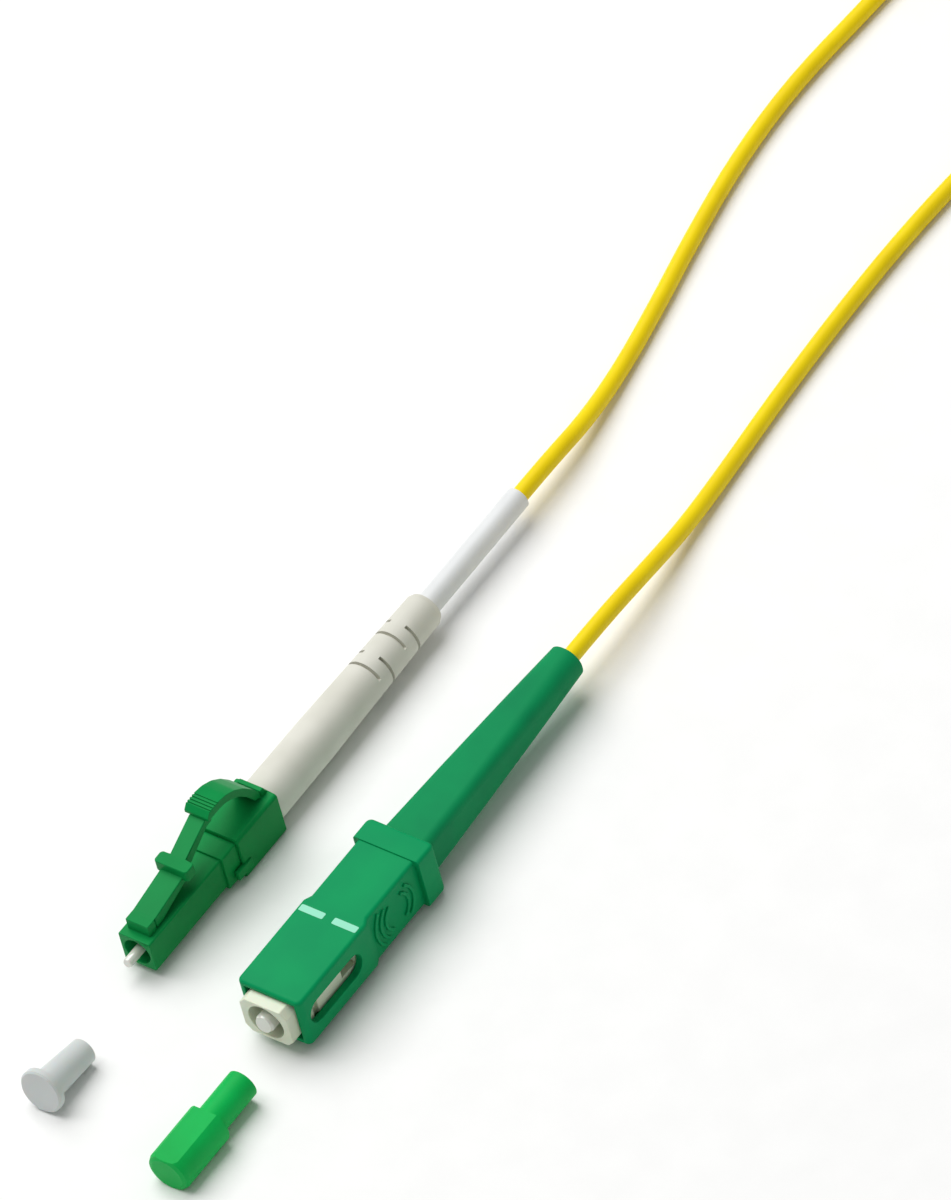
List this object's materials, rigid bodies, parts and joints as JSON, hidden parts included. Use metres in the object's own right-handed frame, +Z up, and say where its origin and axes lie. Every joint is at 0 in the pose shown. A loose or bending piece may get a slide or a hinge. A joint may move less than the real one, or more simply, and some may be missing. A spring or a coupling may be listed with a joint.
{
  "type": "simplex fibre patch cord",
  "caption": "Yellow simplex fibre patch cord with a small latched angled connector on one end, a larger push-pull angled connector on the other, and two dust caps taken off.",
  "frame": {"origin": "on the table under the middle of the box of both connectors and their dust caps", "axes": "+Y from the ferrules towards the cord, along both connectors; +Z up; +X from the LC connector towards the SC connector"},
  "size_m": [0.0354, 0.2267, 0.0126],
  "materials": {
    "green_pbt_lc": "moulded, satin",
    "green_pbt_sc": "moulded, satin",
    "cream_pbt": "moulded, satin",
    "zirconia": "polished",
    "nickel_brass": "nickel plated, turned",
    "aluminium_crimp": "drawn",
    "spring_steel": "drawn wire",
    "grey_tpe": "moulded, matte",
    "green_tpe": "moulded, matte",
    "white_pvc": "extruded, matte",
    "buffer_white": "extruded",
    "pale_print": "pad-printed ink",
    "cord_yellow": "extruded, satin",
    "white_cap": "moulded, satin",
    "green_cap": "moulded, satin"
  },
  "bodies": {
    "patch_cord": {"lc_housing": "green_pbt_lc", "lc_rear_housing": "green_pbt_lc", "lc_spring": "spring_steel", "lc_backbone": "nickel_brass", "lc_crimp_ring": "aluminium_crimp", "lc_boot": "grey_tpe", "lc_sleeve": "white_pvc", "lc_fibre": "buffer_white", "lc_cord_end": "cord_yellow", "lc_dust_cap": "white_cap", "sc_plug_frame": "cream_pbt", "sc_spring": "spring_steel", "sc_stop_ring": "nickel_brass", "sc_crimp_ring": "aluminium_crimp", "sc_boot": "green_tpe", "sc_fibre": "buffer_white", "sc_cord_end": "cord_yellow", "sc_dust_cap": "green_cap", "cord_lc_run": "cord_yellow", "cord_coil": "cord_yellow", "cord_sc_run": "cord_yellow"},
    "lc_latch_arm": {"lc_latch": "green_pbt_lc"},
    "lc_trigger_arm": {"lc_trigger": "green_pbt_lc"},
    "lc_contact": {"lc_ferrule": "zirconia", "lc_ferrule_flange": "nickel_brass"},
    "sc_outer_grip": {"sc_grip": "green_pbt_sc"},
    "sc_contact": {"sc_ferrule": "zirconia", "sc_ferrule_flange": "nickel_brass"}
  },
  "joints": [
    {"name": "lc_latch_press", "type": "hinge", "parent": "patch_cord", "child": "lc_latch_arm", "pos_m": [-0.01108, -0.02309, 0.00625], "axis": [1, 0, 0], "range_deg": [-7.5, 0], "stiffness_Nm_per_rad": 0.02},
    {"name": "lc_trigger_press", "type": "hinge", "parent": "patch_cord", "child": "lc_trigger_arm", "pos_m": [-0.01108, -0.0022, 0.00695], "axis": [1, 0, 0], "range_deg": [0, 10.75]},
    {"name": "lc_ferrule_float", "type": "slide", "parent": "patch_cord", "child": "lc_contact", "axis": [0, 1, 0], "range_m": [0, 0.0008], "stiffness_N_per_m": 800, "deforming": ["lc_spring"]},
    {"name": "sc_grip_slide", "type": "slide", "parent": "patch_cord", "child": "sc_outer_grip", "axis": [0, 1, 0], "range_m": [0, 0.002]},
    {"name": "sc_ferrule_float", "type": "slide", "parent": "patch_cord", "child": "sc_contact", "axis": [0, 1, 0], "range_m": [0, 0.001], "stiffness_N_per_m": 800, "deforming": ["sc_spring"]}
  ],
  "couplings": [
    {"joint": "lc_trigger_press", "follows": "lc_latch_press", "ratio": -1.4286}
  ]
}
